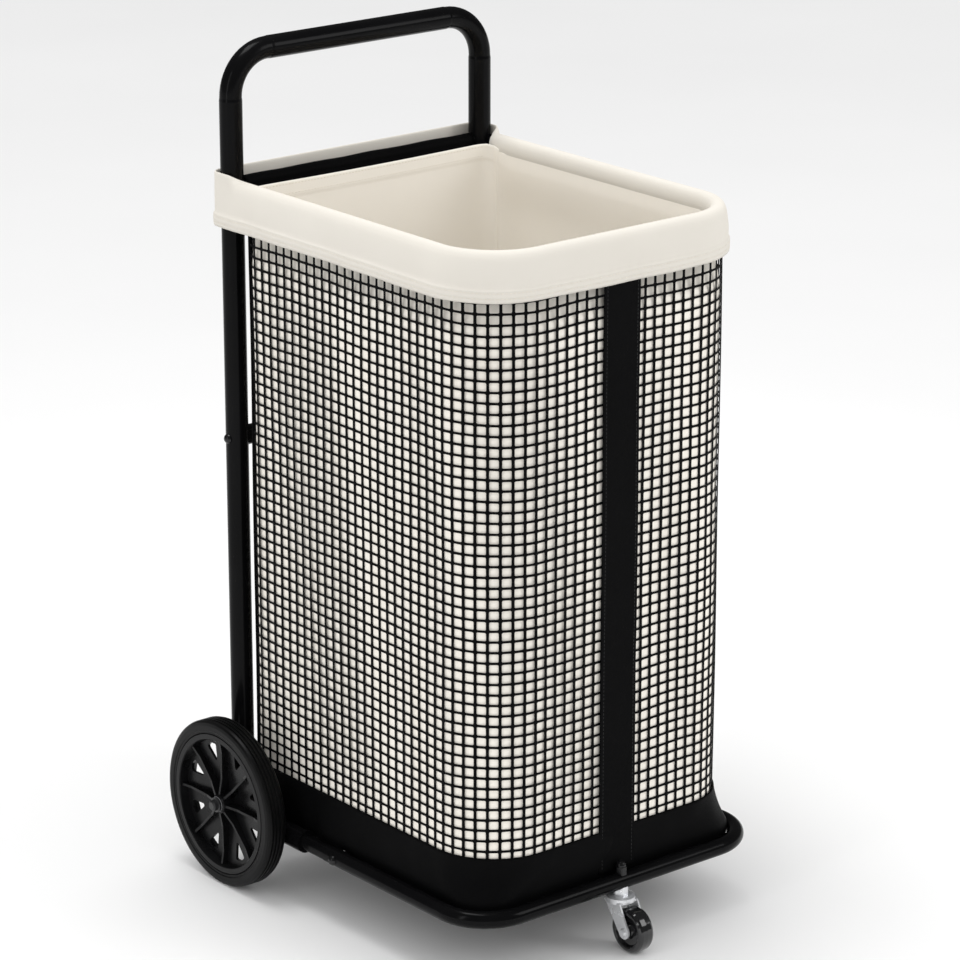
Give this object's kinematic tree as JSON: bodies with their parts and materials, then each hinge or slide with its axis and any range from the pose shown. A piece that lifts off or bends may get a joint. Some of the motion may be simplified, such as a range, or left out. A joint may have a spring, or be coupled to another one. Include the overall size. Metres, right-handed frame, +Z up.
{
  "type": "laundry cart",
  "caption": "Push cart for laundry: bent tube frame with a high handle, large rear wheels, a swivel caster in front and a tall mesh bag with a cream cloth liner folded over its rim.",
  "frame": {"origin": "on the ground, in the middle of the cart's footprint", "axes": "+Z up; +Y towards the push handle and the large wheels; -Y towards the caster; +X across the cart"},
  "size_m": [0.493, 0.544, 0.935],
  "materials": {
    "powder_coat_black": "semi-gloss powder coat",
    "zinc": "bright zinc plate",
    "bolt_black": "black zinc plate",
    "axle_steel": "plain turned steel",
    "tyre_rubber": "matt",
    "wheel_plastic": "moulded, fine texture",
    "caster_plastic": "polished",
    "cap_plastic": "satin",
    "bush_plastic": "plain",
    "canvas_cream": "plain weave cotton canvas",
    "mesh_black": "open knitted mesh",
    "band_black": "coated polyester",
    "strap_black": "woven webbing",
    "board_plastic": "sheet"
  },
  "bodies": {
    "frame": {"handle_tube": "powder_coat_black", "lower_upright_left": "powder_coat_black", "lower_upright_right": "powder_coat_black", "middle_crossbar": "powder_coat_black", "crossbar_inserts": "zinc", "crossbar_bolts": "bolt_black", "rim_tube": "powder_coat_black", "rim_rear_bar": "powder_coat_black", "rear_base_tube": "powder_coat_black", "base_cross_tube": "powder_coat_black", "base_stubs": "powder_coat_black", "front_base_tube": "powder_coat_black", "base_bolts": "bolt_black", "base_nuts": "bolt_black", "axle_bosses": "powder_coat_black", "stub_axles": "axle_steel", "axle_washers": "zinc", "hub_caps": "cap_plastic", "front_stay": "zinc", "stay_clip": "cap_plastic", "caster_cap_nut": "bolt_black", "caster_stem": "zinc", "caster_nut": "zinc", "caster_cup": "zinc", "caster_balls": "zinc", "mesh_shell": "mesh_black", "base_band": "band_black", "floor_board": "board_plastic", "liner": "canvas_cream", "liner_cuff": "canvas_cream", "front_strap": "strap_black", "hem_sleeve": "band_black"},
    "left_wheel": {"left_tyre": "tyre_rubber", "left_wheel_centre": "wheel_plastic", "left_wheel_bushes": "bush_plastic"},
    "right_wheel": {"right_tyre": "tyre_rubber", "right_wheel_centre": "wheel_plastic", "right_wheel_bushes": "bush_plastic"},
    "caster_swivel": {"caster_fork": "zinc", "caster_pin": "zinc"},
    "caster_roller": {"caster_wheel": "caster_plastic", "caster_bush": "bush_plastic"}
  },
  "joints": [
    {"name": "left_wheel_spin", "type": "hinge", "parent": "frame", "child": "left_wheel", "pos_m": [-0.225, 0.177, 0.095], "axis": [1, 0, 0], "continuous": true},
    {"name": "right_wheel_spin", "type": "hinge", "parent": "frame", "child": "right_wheel", "pos_m": [0.225, 0.177, 0.095], "axis": [1, 0, 0], "continuous": true},
    {"name": "caster_swivel_turn", "type": "hinge", "parent": "frame", "child": "caster_swivel", "pos_m": [0, -0.227, 0.0545], "axis": [0, 0, 1], "continuous": true},
    {"name": "caster_wheel_spin", "type": "hinge", "parent": "caster_swivel", "child": "caster_roller", "pos_m": [0, -0.247, 0.025], "axis": [1, 0, 0], "continuous": true}
  ]
}
